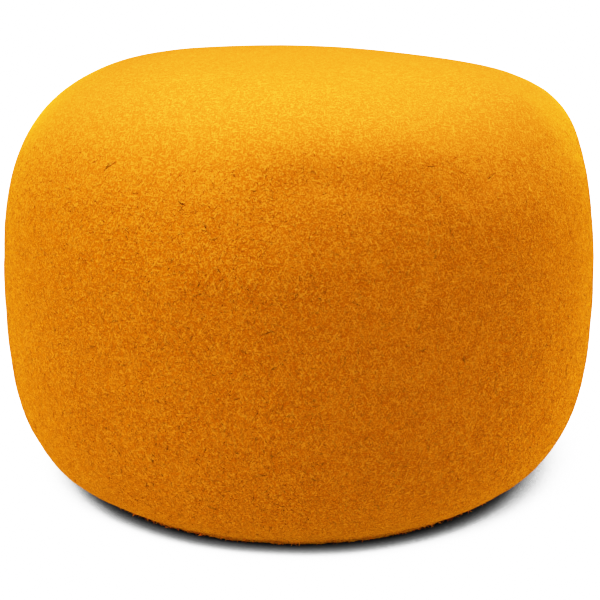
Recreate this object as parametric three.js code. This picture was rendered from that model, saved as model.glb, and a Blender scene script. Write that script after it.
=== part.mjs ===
// Felt pouf: one seamless body of thick wool felt, filled firm, standing on its own flat base.
// Millimetres, +Z up. The pouf stands on z = 0 with the middle of its bounding box over the origin.

import * as THREE from 'three';
import { mergeVertices } from 'three/addons/utils/BufferGeometryUtils.js';

// Overall size
const WIDTH = 500;
const HEIGHT = 355;
const BELLY_HEIGHT = 153;

// The lower side would close this far under the floor, so the floor cuts a flat round base across it
const BASE_SINK = 14;

// Superellipse powers: a larger "across" flattens the crown or base, a larger "along" steepens the side
const CROWN_POWER = { across: 4.4, along: 3.2 };
const FOOT_POWER = { across: 4.0, along: 3.0 };

// Mesh steps around the axis, from the belly up to the crown's middle, and from the belly down to the base
const STEPS_AROUND = 90;
const STEPS_CROWN = 30;
const STEPS_FOOT = 15;

// Unevenness of hand-made felt: swells, and hollows where the swell is negative.
// Bearings are degrees from +X towards +Y. A swell spreads out from its middle over its reach.
const SWELLS = [
  // right side, as seen from -Y
  { bearing: 0, out: 215, height: 318, reach: 50, swell: 7 },
  { bearing: 0, out: 245, height: 243, reach: 45, swell: -3 },
  { bearing: 0, out: 245, height: 75, reach: 50, swell: -8 },
  // left side
  { bearing: 180, out: 235, height: 262, reach: 60, swell: -3 },
  { bearing: 180, out: 245, height: 88, reach: 50, swell: -7 },
  { bearing: 215, out: 220, height: 30, reach: 50, swell: 3 },
  { bearing: 245, out: 190, height: 15, reach: 60, swell: 3 },
  // crown
  { bearing: 150, out: 150, height: 350, reach: 80, swell: 3 },
  { bearing: 40, out: 150, height: 350, reach: 80, swell: -3 },
  { bearing: 262, out: 190, height: 345, reach: 70, swell: 2 },
  { bearing: 246, out: 165, height: 345, reach: 40, swell: -3 },
  { bearing: 303, out: 142, height: 349, reach: 45, swell: -3 },
  { bearing: 332, out: 195, height: 331, reach: 40, swell: 4 },
  // shoulder over the front, and the hollow below it
  { bearing: 268, out: 212, height: 317, reach: 35, swell: 5 },
  { bearing: 290, out: 213, height: 315, reach: 40, swell: 6 },
  { bearing: 272, out: 234, height: 288, reach: 25, swell: -3 },
  { bearing: 284, out: 234, height: 288, reach: 25, swell: -3 },
  // front
  { bearing: 296, out: 245, height: 235, reach: 75, swell: -3 },
  { bearing: 238, out: 248, height: 220, reach: 80, swell: 2 },
  { bearing: 225, out: 242, height: 260, reach: 45, swell: -3 },
  { bearing: 254, out: 247, height: 228, reach: 28, swell: 3 },
  { bearing: 266, out: 246, height: 234, reach: 40, swell: 3 },
  { bearing: 275, out: 250, height: 120, reach: 90, swell: 2 },
  { bearing: 228, out: 247, height: 115, reach: 45, swell: 3 },
  { bearing: 235, out: 235, height: 70, reach: 70, swell: -2 },
  { bearing: 258, out: 241, height: 66, reach: 35, swell: -3 },
  { bearing: 281, out: 239, height: 63, reach: 35, swell: 3 },
  // back
  { bearing: 105, out: 220, height: 310, reach: 70, swell: 4 },
  { bearing: 135, out: 245, height: 190, reach: 90, swell: -4 },
  { bearing: 60, out: 248, height: 150, reach: 85, swell: 3 },
  { bearing: 95, out: 245, height: 90, reach: 75, swell: -3 },
];

// A swell moves the felt straight away from the heart of the pouf, and dies out towards the flat base
const HEART = new THREE.Vector3(0, 0, BELLY_HEIGHT);
const BASE_FADE = 25;

const FELT = { color: 0xdf8a12, roughness: 0.95, metalness: 0 };

// Part of the half outline: a superellipse that starts at the belly's rim and rises, or falls, towards the axis
class Quarter extends THREE.Curve {
  constructor(rise, power, endAngle) {
    super();
    this.rise = rise;
    this.power = power;
    this.endAngle = endAngle;
  }

  getPoint(t, target = new THREE.Vector2()) {
    const angle = t * this.endAngle;
    const out = (WIDTH / 2) * Math.max(Math.cos(angle), 0) ** (2 / this.power.across);
    const up = this.rise * Math.sin(angle) ** (2 / this.power.along);
    return target.set(out, BELLY_HEIGHT + up);
  }
}

// Half outline from the middle of the base, out along the floor, up the side and in over the crown
function halfOutline() {
  const footDepth = BELLY_HEIGHT + BASE_SINK;
  const floorAngle = Math.asin((BELLY_HEIGHT / footDepth) ** (FOOT_POWER.along / 2));
  const foot = new Quarter(-footDepth, FOOT_POWER, floorAngle);
  const crown = new Quarter(HEIGHT - BELLY_HEIGHT, CROWN_POWER, Math.PI / 2);
  return [
    new THREE.Vector2(0, 0),
    ...foot.getSpacedPoints(STEPS_FOOT).reverse(),
    ...crown.getSpacedPoints(STEPS_CROWN).slice(1, -1),
    new THREE.Vector2(0, HEIGHT),
  ];
}

function middleOf({ bearing, out, height }) {
  const angle = THREE.MathUtils.degToRad(bearing);
  return new THREE.Vector3(out * Math.cos(angle), out * Math.sin(angle), height);
}

// How far the swells together push the felt out at a point
function swellAt(point) {
  let total = 0;
  for (const row of SWELLS) {
    const distance = point.distanceTo(middleOf(row));
    total += row.swell * Math.exp(-((distance / row.reach) ** 2));
  }
  return total * THREE.MathUtils.smoothstep(point.z, 0, BASE_FADE);
}

function swellSurface(geometry) {
  const positions = geometry.getAttribute('position');
  const point = new THREE.Vector3();
  const outward = new THREE.Vector3();
  for (let i = 0; i < positions.count; i += 1) {
    point.fromBufferAttribute(positions, i);
    outward.subVectors(point, HEART).normalize();
    point.addScaledVector(outward, swellAt(point));
    positions.setXYZ(i, point.x, point.y, Math.max(point.z, 0));
  }
}

// Moves the solid sideways until its bounding box is centred over the origin
function centreOverOrigin(geometry) {
  geometry.computeBoundingBox();
  const middle = geometry.boundingBox.getCenter(new THREE.Vector3());
  geometry.translate(-middle.x, -middle.y, 0);
}

function feltBody() {
  const turned = new THREE.LatheGeometry(halfOutline(), STEPS_AROUND);
  turned.rotateX(Math.PI / 2);
  turned.deleteAttribute('normal');
  turned.deleteAttribute('uv');
  const geometry = mergeVertices(turned);
  swellSurface(geometry);
  centreOverOrigin(geometry);
  geometry.computeVertexNormals();
  const mesh = new THREE.Mesh(geometry, new THREE.MeshStandardMaterial(FELT));
  mesh.name = 'felt_body';
  return mesh;
}

const group = new THREE.Group();
group.add(feltBody());

export default group;
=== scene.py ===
# Felt pouf in mustard wool: a firm felted body under a matted coat of short fibres.
# Metres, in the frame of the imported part: +Z up, the photographed side towards -Y.

import math

import bpy
import numpy as np
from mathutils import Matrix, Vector, noise


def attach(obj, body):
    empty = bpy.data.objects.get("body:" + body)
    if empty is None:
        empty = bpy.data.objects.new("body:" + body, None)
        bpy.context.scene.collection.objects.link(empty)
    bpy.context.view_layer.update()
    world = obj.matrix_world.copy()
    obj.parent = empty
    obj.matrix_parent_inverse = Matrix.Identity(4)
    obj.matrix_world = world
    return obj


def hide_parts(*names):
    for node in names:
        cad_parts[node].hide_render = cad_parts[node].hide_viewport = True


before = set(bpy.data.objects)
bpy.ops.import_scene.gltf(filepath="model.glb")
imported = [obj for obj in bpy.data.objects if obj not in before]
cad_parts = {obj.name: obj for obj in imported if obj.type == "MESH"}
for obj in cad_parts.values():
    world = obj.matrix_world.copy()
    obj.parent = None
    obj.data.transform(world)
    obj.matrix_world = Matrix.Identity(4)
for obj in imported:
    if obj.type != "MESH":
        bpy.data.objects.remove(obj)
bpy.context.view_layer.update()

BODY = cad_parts["felt_body"]

# Body: the felt skin is remeshed, blown up gently against a cap, and subdivided. TINY keeps a length of
# nothing from being divided by.
VOXEL = 0.0067
SKIN_INSET = 0.0003
PRESSURE = 4.0
CLOTH_QUALITY = 5
SETTLE_FRAMES = 20
SETTLE_CAP = 0.001
RESTING_BELOW = 0.001
TINY = 1e-9

# The foot's slope runs on under the floor until the floor cuts it, so its rim stays crisp
BASE_SINK = 0.008
SUNK_NARROWING = 0.975

# Relief of the felt skin: size across one wave, and height of it, both in metres
RELIEF = [
    {"across": 0.085, "height": 0.0006, "seed": 3.1},
    {"across": 0.032, "height": 0.0004, "seed": 17.4},
    {"across": 0.012, "height": 0.00026, "seed": 41.7},
    {"across": 0.006, "height": 0.00013, "seed": 64.2},
]

# The edge of the foot, just over the floor, is rougher
FOOT_RELIEF = {"across": 0.018, "height": 0.0022, "seed": 88.5}
FOOT_RELIEF_TOP = 0.014

# From this height down to the floor the relief moves points up or down less and less, to keep the base flat
BASE_FADE = 0.02

# Coat: each lot of fibres has its own tone. Sizes in metres, tone in steps from deep (-) to pale (+).
FIBRE_COUNT = 42000
FIBRE_LOTS = [
    {"name": "pale", "long": 0.0046, "wide": 0.00038, "lift": 0.00009, "seed": 11, "tone": 0.42},
    {"name": "amber", "long": 0.0042, "wide": 0.00045, "lift": 0.00008, "seed": 12, "tone": 0.20},
    {"name": "ochre", "long": 0.0040, "wide": 0.00055, "lift": 0.00007, "seed": 13, "tone": 0.03},
    {"name": "rust", "long": 0.0036, "wide": 0.00055, "lift": 0.00006, "seed": 14, "tone": -0.12},
]
NO_FIBRE_BELOW = 0.0005
LOWEST_FIBRE = 0.0002

# A fibre is a closed sliver of four points: its first end, its two flanks at the bend, and its last end
SLIVER_POINTS = 4
SLIVER_FACES = [(0, 1, 2), (3, 2, 1), (0, 3, 1), (0, 2, 3)]

# How fibres differ: a spread of length, of the bend as a part of the half length, of the heights as parts
# of the lot's lift, and of the roll in radians
LENGTH_SPREAD = 0.3
BEND_SPREAD = 0.2
MIDDLE_LIFT = 0.7
MIDDLE_SPREAD = 0.3
END_SPREAD = 0.4
FLANK_ROLL = 0.04

# Strays stand off with their last end, near the foot only. Their middle rises with it by this part.
STRAY_SHARE = 0.15
STRAY_LIFT = 0.0032
STRAY_BELOW = 0.012
STRAY_MIDDLE = 0.4

# The seat is pressed smooth: where the felt faces up it keeps this share of its relief, and no fibres and
# no strand bump. Its colour also turns paler and whiter there: painted sheen. The bounds are heights of the
# felt's unit normal.
SEAT_RELIEF = 0.2
CALM_FROM = 0.05
CALM_TO = 0.65
SEAT_PAINTED_SHEEN = 0.8
SHEEN_PAINT_FROM = 0.15
SHEEN_PAINT_TO = 0.92

# Wool colours, linear: the deep ones are redder and the pale ones yellower
WOOL_DEEP = (0.66, 0.163, 0.0010, 1)
WOOL = (0.89, 0.245, 0.0045, 1)
WOOL_PALE = (1.00, 0.330, 0.0200, 1)
# Colours of the painted sheen on the seat: whiter wool, and whiter still on the strands
PAINTED_SHEEN_WOOL = (0.81, 0.240, 0.0200, 1)
PAINTED_SHEEN_STRAND = (1.00, 0.400, 0.0450, 1)
# The skin is a step darker than most fibres: painted shade in the gaps between them
SKIN_PAINTED_SHADE_TONE = -0.12

FELT_FINISH = {
    "Roughness": 0.95,
    "Specular IOR Level": 0.0,
    "Sheen Weight": 0.45,
    "Sheen Roughness": 0.35,
    "Sheen Tint": (1.0, 0.50, 0.03, 1),
}

# Pattern in the wool: soft clouds, upright streaks near the foot, and strands that lie in every direction
CLOUD_NOISE = {"Scale": 60.0, "Detail": 3.0, "Roughness": 0.6}
CLOUD_STRENGTH = 1.3
STREAK_TOP = 0.11
STREAK_SIZE = (0.018, 0.018, 0.11)
STREAK_NOISE = {"Scale": 1.0, "Detail": 2.0}
STRAND_SIZE = (0.0009, 0.0009, 0.0050)
STRAND_NOISE = {"Scale": 1.0, "Detail": 0.0, "Distortion": 0.6}
STRAND_TURNS = [(58, 0, 0), (-58, 0, 0), (0, 32, 0), (0, -32, 0), (90, 0, 58), (90, 0, -58)]
STRAND_EDGES = (0.64, 0.78)
STRAND_MIDDLE = 0.20
STRAND_STRENGTH = 2.1
STRAND_HEIGHT = 0.00017

# Middle of a noise, and of the ramp from deep to pale wool
MIDDLE = 0.5

# Camera, as fitted to the outline in the photograph
CAMERA_ELEVATION = math.radians(15)
CAMERA_DISTANCE = 1.25
ORBIT_CENTRE = Vector((0, 0, 0.17))
AIM = Vector((0.001, 0, 0.147))
LENS = 86.8


def link(obj):
    bpy.context.scene.collection.objects.link(obj)
    return obj


def coordinates(mesh):
    flat = np.empty(len(mesh.vertices) * 3)
    mesh.vertices.foreach_get("co", flat)
    return flat.reshape(-1, 3)


def normals(mesh):
    flat = np.empty(len(mesh.vertices) * 3)
    mesh.vertices.foreach_get("normal", flat)
    return flat.reshape(-1, 3)


def set_coordinates(mesh, points):
    mesh.vertices.foreach_set("co", points.ravel())
    mesh.update()


def apply_modifiers(obj):
    """Bakes what obj's modifiers show into its own mesh."""
    graph = bpy.context.evaluated_depsgraph_get()
    shown = bpy.data.meshes.new_from_object(obj.evaluated_get(graph))
    obj.modifiers.clear()
    obj.data = shown
    return obj


def settle(skin):
    """Blows the felt skin up as its filling does, without letting any point move past the cap."""
    scene = bpy.context.scene
    start = coordinates(skin.data)
    cloth = skin.modifiers.new("settle", "CLOTH")
    cloth.settings.use_pressure = True
    cloth.settings.uniform_pressure_force = PRESSURE
    cloth.settings.effector_weights.gravity = 0
    cloth.settings.quality = CLOTH_QUALITY
    cloth.point_cache.frame_start = 1
    cloth.point_cache.frame_end = SETTLE_FRAMES
    for step in range(1, SETTLE_FRAMES + 1):
        scene.frame_set(step)
    graph = bpy.context.evaluated_depsgraph_get()
    moved = coordinates(skin.evaluated_get(graph).to_mesh()) - start
    skin.modifiers.clear()
    scene.frame_set(1)
    far = np.linalg.norm(moved, axis=1, keepdims=True)
    moved *= np.minimum(1, SETTLE_CAP / np.maximum(far, TINY))
    set_coordinates(skin.data, start + moved)


def flatten_base(mesh):
    points = coordinates(mesh)
    points[:, 2] = np.where(points[:, 2] < RESTING_BELOW, 0, points[:, 2])
    set_coordinates(mesh, points)


def waves(points, row):
    """Soft noise of the row's size and height at each point."""
    at = points / row["across"] + row["seed"]
    return row["height"] * np.array([noise.noise(p) for p in at])


def roughness(out, least):
    """From 1 on the side of the pouf down to the least on its seat, for each normal."""
    upward = np.clip((out[:, 2] - CALM_FROM) / (CALM_TO - CALM_FROM), 0, 1)
    return 1 - (1 - least) * upward


def add_relief(mesh):
    """Raises and sinks the skin in soft waves. On the flat base they only move points sideways."""
    points, out = coordinates(mesh), normals(mesh)
    height = sum(waves(points, row) for row in RELIEF) * roughness(out, SEAT_RELIEF)
    height += waves(points, FOOT_RELIEF) * np.clip(1 - points[:, 2] / FOOT_RELIEF_TOP, 0, 1)
    moved = out * height[:, None]
    moved[:, 2] *= np.clip(points[:, 2] / BASE_FADE, 0, 1)
    points += moved
    points[:, 2] = np.maximum(points[:, 2], 0)
    set_coordinates(mesh, points)


def felt_skin():
    mesh = BODY.data.copy()
    mesh.materials.clear()
    skin = link(bpy.data.objects.new("felt_skin", mesh))
    points = coordinates(mesh)
    base = points[:, 2] < RESTING_BELOW
    points -= normals(mesh) * SKIN_INSET
    points[base, :2] *= SUNK_NARROWING
    points[base, 2] = -BASE_SINK
    set_coordinates(mesh, points)
    remesh = skin.modifiers.new("remesh", "REMESH")
    remesh.mode = "VOXEL"
    remesh.voxel_size = VOXEL
    apply_modifiers(skin)
    settle(skin)
    subdivide = skin.modifiers.new("subdivide", "SUBSURF")
    subdivide.levels = 1
    subdivide.render_levels = 1
    apply_modifiers(skin)
    flatten_base(skin.data)
    add_relief(skin.data)
    skin.data.shade_smooth()
    return skin


def unit(vectors):
    return vectors / np.linalg.norm(vectors, axis=1, keepdims=True)


def surface_samples(mesh, count, random):
    """Points scattered closest on the mesh's side, with none on its seat or base, and their normals."""
    mesh.calc_loop_triangles()
    corners = np.empty(len(mesh.loop_triangles) * 3, int)
    mesh.loop_triangles.foreach_get("vertices", corners)
    corners = corners.reshape(-1, 3)
    points, out = coordinates(mesh), normals(mesh)
    a, b, c = (points[corners[:, i]] for i in range(3))
    area = np.linalg.norm(np.cross(b - a, c - a), axis=1)
    area *= roughness(out[corners[:, 0]], 0)
    area[np.maximum(np.maximum(a[:, 2], b[:, 2]), c[:, 2]) < NO_FIBRE_BELOW] = 0
    spread = (np.arange(count) + random.random(count)) / count * area.sum()
    chosen = np.minimum(np.searchsorted(np.cumsum(area), spread), len(area) - 1)
    u, v = random.random((2, count, 1))
    folded = u + v > 1
    u, v = np.where(folded, 1 - u, u), np.where(folded, 1 - v, v)
    weights = (1 - u - v, u, v)
    at = sum(w * points[corners[chosen, i]] for i, w in enumerate(weights))
    facing = sum(w * out[corners[chosen, i]] for i, w in enumerate(weights))
    return at, unit(facing)


def sliver_points(skin, lot):
    """The points of a lot's fibres, which lie on the skin in every direction."""
    random = np.random.default_rng(lot["seed"])
    at, out = surface_samples(skin.data, FIBRE_COUNT, random)
    loose = unit(random.normal(size=at.shape))
    along = unit(loose - out * np.sum(loose * out, axis=1, keepdims=True))
    across = np.cross(out, along)

    def draw(spread):
        return random.normal(0, spread, (FIBRE_COUNT, 1))

    lift = lot["lift"]
    half = lot["long"] * np.exp(draw(LENGTH_SPREAD)) / 2
    loose_end = (random.random((FIBRE_COUNT, 1)) < STRAY_SHARE) & (at[:, 2:] < STRAY_BELOW)
    stray = STRAY_LIFT * random.random((FIBRE_COUNT, 1)) * loose_end
    bend = across * half * draw(BEND_SPREAD)
    middle = at + bend + out * (lift * (MIDDLE_LIFT + draw(MIDDLE_SPREAD)) + stray * STRAY_MIDDLE)
    first = at - along * half + out * lift * draw(END_SPREAD)
    last = at + along * half + out * (lift * draw(END_SPREAD) + stray)
    roll = draw(FLANK_ROLL)
    flank = (across * np.cos(roll) + out * np.sin(roll)) * lot["wide"] / 2
    points = np.stack([first, middle - flank, middle + flank, last], axis=1).reshape(-1, 3)
    points[:, 2] = np.maximum(points[:, 2], LOWEST_FIBRE)
    return points


def triangle_mesh(name, points, corners):
    """A mesh from its points and from its triangles' corners, three after three."""
    mesh = bpy.data.meshes.new(name)
    mesh.vertices.add(len(points))
    mesh.vertices.foreach_set("co", points.ravel())
    mesh.loops.add(len(corners))
    mesh.loops.foreach_set("vertex_index", corners)
    mesh.polygons.add(len(corners) // 3)
    mesh.polygons.foreach_set("loop_start", np.arange(0, len(corners), 3))
    mesh.update(calc_edges=True)
    return mesh


def fibre_coat(skin, lot):
    """One lot of short fibres matted onto the skin."""
    firsts = SLIVER_POINTS * np.arange(FIBRE_COUNT)
    corners = (np.array(SLIVER_FACES)[None] + firsts[:, None, None]).reshape(-1)
    mesh = triangle_mesh("fibres_" + lot["name"], sliver_points(skin, lot), corners)
    mesh.materials.append(felt_material("felt_fibre_" + lot["name"], lot["tone"]))
    return link(bpy.data.objects.new("fibres_" + lot["name"], mesh))


class Nodes:
    """Small helper for building a material's node tree in reading order."""

    def __init__(self, name):
        self.material = bpy.data.materials.new(name)
        self.material.use_nodes = True
        self.tree = self.material.node_tree
        self.shader = self.tree.nodes["Principled BSDF"]

    def add(self, kind, settings=(), **inputs):
        node = self.tree.nodes.new(kind)
        for key, value in dict(settings).items():
            setattr(node, key, value)
        for key, value in inputs.items():
            self.feed(node, key.replace("_", " "), value)
        return node

    def feed(self, node, key, value):
        socket = node.inputs[int(key) if key.isdigit() else key]
        if isinstance(value, bpy.types.NodeSocket):
            self.tree.links.new(value, socket)
        else:
            socket.default_value = value

    def math(self, operation, *values):
        node = self.tree.nodes.new("ShaderNodeMath")
        node.operation = operation
        for index, value in enumerate(values):
            self.feed(node, str(index), value)
        return node.outputs["Value"]

    def blend(self, factor, first, second):
        node = self.add("ShaderNodeMix", {"data_type": "RGBA"}, Factor=factor)
        self.feed(node, "6", first)
        self.feed(node, "7", second)
        return node.outputs[2]


def clouds_and_streaks(n, place):
    """Weak clouds of lighter and darker wool, drawn out into upright streaks near the foot."""
    clouds = n.add("ShaderNodeTexNoise", Vector=place, **CLOUD_NOISE)
    tall = n.add("ShaderNodeMapping", {"vector_type": "TEXTURE"}, Vector=place, Scale=STREAK_SIZE)
    streaks = n.add("ShaderNodeTexNoise", Vector=tall.outputs["Vector"], **STREAK_NOISE)
    height = n.add("ShaderNodeSeparateXYZ", Vector=place).outputs["Z"]
    soft = {"interpolation_type": "SMOOTHSTEP"}
    low = n.add("ShaderNodeMapRange", soft, Value=height, From_Min=STREAK_TOP, From_Max=0.0)
    blend = n.add("ShaderNodeMix", Factor=low.outputs["Result"], A=clouds.outputs["Fac"])
    n.feed(blend, "B", streaks.outputs["Fac"])
    return blend.outputs["Result"]


def strands(n, place):
    """Slender strands from noise that is drawn out along each of six directions; the lightest one shows."""
    soft = {"interpolation_type": "SMOOTHSTEP"}
    thin, full = STRAND_EDGES
    top = None
    for turn in STRAND_TURNS:
        drawn = n.add("ShaderNodeMapping", {"vector_type": "TEXTURE"}, Vector=place, Scale=STRAND_SIZE)
        n.feed(drawn, "Rotation", [math.radians(degrees) for degrees in turn])
        field = n.add("ShaderNodeTexNoise", Vector=drawn.outputs["Vector"], **STRAND_NOISE)
        level = field.outputs["Fac"]
        edge = n.add("ShaderNodeMapRange", soft, Value=level, From_Min=thin, From_Max=full)
        strand = edge.outputs["Result"]
        top = strand if top is None else n.math("MAXIMUM", top, strand)
    return top


def facing_up(n, low, high):
    """From 0 where the felt's normal rises to the low bound, or less, up to 1 at the high one."""
    facing = n.add("ShaderNodeNewGeometry").outputs["Normal"]
    upward = n.add("ShaderNodeSeparateXYZ", Vector=facing).outputs["Z"]
    range_up = n.add("ShaderNodeMapRange", Value=upward, From_Min=low, From_Max=high)
    return range_up.outputs["Result"]


def felt_material(name, tone):
    n = Nodes(name)
    place = n.add("ShaderNodeTexCoord").outputs["Object"]
    # Paler and whiter where the felt faces up: painted sheen on the seat
    pale = n.math("MULTIPLY", facing_up(n, SHEEN_PAINT_FROM, SHEEN_PAINT_TO), SEAT_PAINTED_SHEEN)
    strand = strands(n, place)
    cloud = n.math("MULTIPLY", n.math("SUBTRACT", clouds_and_streaks(n, place), MIDDLE), CLOUD_STRENGTH)
    light = n.math("MULTIPLY", n.math("SUBTRACT", strand, STRAND_MIDDLE), STRAND_STRENGTH)
    level = n.math("ADD", n.math("ADD", light, cloud), MIDDLE + tone)
    ramp = n.add("ShaderNodeValToRGB", Fac=level)
    ramp.color_ramp.elements.new(MIDDLE)
    for element, wool in zip(ramp.color_ramp.elements, (WOOL_DEEP, WOOL, WOOL_PALE)):
        element.color = wool
    colour = n.blend(pale, ramp.outputs["Color"], n.blend(strand, PAINTED_SHEEN_WOOL, PAINTED_SHEEN_STRAND))
    height = n.math("MULTIPLY", strand, n.math("SUBTRACT", 1.0, facing_up(n, CALM_FROM, CALM_TO)))
    bump = n.add("ShaderNodeBump", Height=height, Strength=1.0, Distance=STRAND_HEIGHT)
    n.feed(n.shader, "Base Color", colour)
    n.feed(n.shader, "Normal", bump.outputs["Normal"])
    for socket, value in FELT_FINISH.items():
        n.feed(n.shader, socket, value)
    return n.material


def make_camera():
    data = bpy.data.cameras.new("camera")
    data.lens = LENS
    camera = link(bpy.data.objects.new("camera", data))
    away = Vector((0, -math.cos(CAMERA_ELEVATION), math.sin(CAMERA_ELEVATION)))
    camera.location = ORBIT_CENTRE + away * CAMERA_DISTANCE
    camera.rotation_euler = (AIM - camera.location).to_track_quat("-Z", "Y").to_euler()
    bpy.context.scene.camera = camera


# Lights: where each stands, how wide and high it is, and its power in watts. The bounces stand for
# the light that a white floor throws back up, so they are just under it.
LIGHTS = [
    {"name": "key", "at": (-0.1, -0.3, 0.8), "size": (0.4, 0.4), "power": 2.9},
    {"name": "key_back", "at": (0.15, 0.15, 1.0), "size": (0.4, 0.4), "power": 5.2},
    {"name": "bounce_left_front", "at": (-1.0, -0.6, -0.05), "size": (0.9, 0.5), "power": 6.0},
    {"name": "bounce_left", "at": (-1.1, 0.2, -0.05), "size": (0.9, 0.5), "power": 5.4},
    {"name": "bounce_right", "at": (1.1, 0.1, -0.05), "size": (0.9, 0.5), "power": 9.4},
    {"name": "rim_left", "at": (-0.9, 0.8, -0.1), "size": (0.6, 0.6), "power": 19.0},
    {"name": "rim_right", "at": (0.9, 0.8, -0.1), "size": (0.6, 0.6), "power": 19.0},
]
LIT_POINT = Vector((0, 0, 0.18))


def add_lights():
    for row in LIGHTS:
        data = bpy.data.lights.new(row["name"], "AREA")
        data.shape = "RECTANGLE"
        data.size, data.size_y = row["size"]
        data.energy = row["power"]
        lamp = link(bpy.data.objects.new(row["name"], data))
        lamp.location = row["at"]
        lamp.rotation_euler = (LIT_POINT - lamp.location).to_track_quat("-Z", "Y").to_euler()
        lamp.visible_camera = False


WORLD_GLOW = 0.58
BACKDROP_WHITE = 3.0


def make_world():
    """An even soft glow all round, and plain white where the camera sees past the floor."""
    world = bpy.data.worlds.new("studio")
    world.use_nodes = True
    bpy.context.scene.world = world
    tree = world.node_tree
    glow = tree.nodes["Background"]
    glow.inputs["Color"].default_value = (1, 1, 1, 1)
    glow.inputs["Strength"].default_value = WORLD_GLOW
    seen = tree.nodes.new("ShaderNodeBackground")
    seen.inputs["Color"].default_value = (1, 1, 1, 1)
    seen.inputs["Strength"].default_value = BACKDROP_WHITE
    path = tree.nodes.new("ShaderNodeLightPath")
    mix = tree.nodes.new("ShaderNodeMixShader")
    tree.links.new(path.outputs["Is Camera Ray"], mix.inputs["Fac"])
    tree.links.new(glow.outputs["Background"], mix.inputs[1])
    tree.links.new(seen.outputs["Background"], mix.inputs[2])
    tree.links.new(mix.outputs["Shader"], tree.nodes["World Output"].inputs["Surface"])


# Painted shadow on the glowing floor: how much of the sky a spot sees, on the side that the light comes
# from, to a power, and darker still close to the foot
FLOOR_WHITE = 3.0
FLOOR_SHADE_SAMPLES = 16
FLOOR_SHADE_REACH = 0.6
FLOOR_SHADE_SIDE = (-0.10, -0.6, 0.8)
FLOOR_SHADE_POWER = 6.0
FLOOR_SHADE_GAIN = 70.0
CONTACT_REACH = 0.013

# The light that the floor throws up on the pouf, weaker than the white that the camera sees
FLOOR_GLOW = 0.8

# Half the floor's side, and how far it lies under the base, so that the two never share a plane
FLOOR_HALF = 6.0
FLOOR_DROP = 0.0003


def make_floor():
    mesh = bpy.data.meshes.new("floor")
    corners = [(x * FLOOR_HALF, y * FLOOR_HALF, 0) for x, y in ((-1, -1), (1, -1), (1, 1), (-1, 1))]
    mesh.from_pydata(corners, [], [(0, 1, 2, 3)])
    n = Nodes("floor_glow_painted_shadow")
    n.tree.nodes.remove(n.shader)
    side = n.add("ShaderNodeCombineXYZ", **dict(zip("XYZ", FLOOR_SHADE_SIDE)))
    quality = {"samples": FLOOR_SHADE_SAMPLES}
    open_sky = n.add("ShaderNodeAmbientOcclusion", quality, Distance=FLOOR_SHADE_REACH)
    n.feed(open_sky, "Normal", side.outputs["Vector"])
    steep = n.math("POWER", open_sky.outputs["AO"], FLOOR_SHADE_POWER)
    wide = n.math("MULTIPLY", steep, FLOOR_SHADE_GAIN)
    contact = n.add("ShaderNodeAmbientOcclusion", quality, Distance=CONTACT_REACH)
    shade = n.math("MULTIPLY", wide, contact.outputs["AO"])
    painted_shadow_seen = n.math("MINIMUM", shade, FLOOR_WHITE)
    seen = n.add("ShaderNodeLightPath").outputs["Is Camera Ray"]
    thrown = n.math("MINIMUM", shade, FLOOR_GLOW)
    strength = n.add("ShaderNodeMix", Factor=seen, A=thrown, B=painted_shadow_seen)
    # The floor glows with emission and is not lit by the lamps; its shadow round the foot is painted into
    # that glow
    white = n.add("ShaderNodeEmission", Strength=strength.outputs["Result"])
    n.material.cycles.emission_sampling = "NONE"
    n.tree.links.new(white.outputs["Emission"], n.tree.nodes["Material Output"].inputs["Surface"])
    mesh.materials.append(n.material)
    floor = link(bpy.data.objects.new("floor", mesh))
    floor.location.z = -FLOOR_DROP
    floor.visible_shadow = False


def build_pouf():
    skin = felt_skin()
    # The skin's darker tone is painted shade between the fibres
    skin.data.materials.append(felt_material("wool_felt", SKIN_PAINTED_SHADE_TONE))
    pieces = [skin] + [fibre_coat(skin, lot) for lot in FIBRE_LOTS]
    for piece in pieces:
        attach(piece, "root")
    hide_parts("felt_body")


# Tone of the photograph: a soft film curve, given by a formula, up to the scene value that prints white
TONE_GAIN = 1.38
TONE_POWER = 1.37
TONE_WHITE = 3.0
TONE_STEPS = 16


def film_tone(value):
    return 1 - math.exp(-TONE_GAIN * value ** TONE_POWER)


def set_tone():
    view = bpy.context.scene.view_settings
    view.view_transform = "Standard"
    view.use_curve_mapping = True
    mapping = view.curve_mapping
    mapping.white_level = (TONE_WHITE, TONE_WHITE, TONE_WHITE)
    # The fourth curve acts on red, green and blue alike
    combined = mapping.curves[3]
    for step in range(1, TONE_STEPS):
        part = (step / TONE_STEPS) ** 2
        combined.points.new(part, film_tone(part * TONE_WHITE) / film_tone(TONE_WHITE))
    mapping.update()


set_tone()
make_camera()
add_lights()
make_world()
make_floor()
build_pouf()
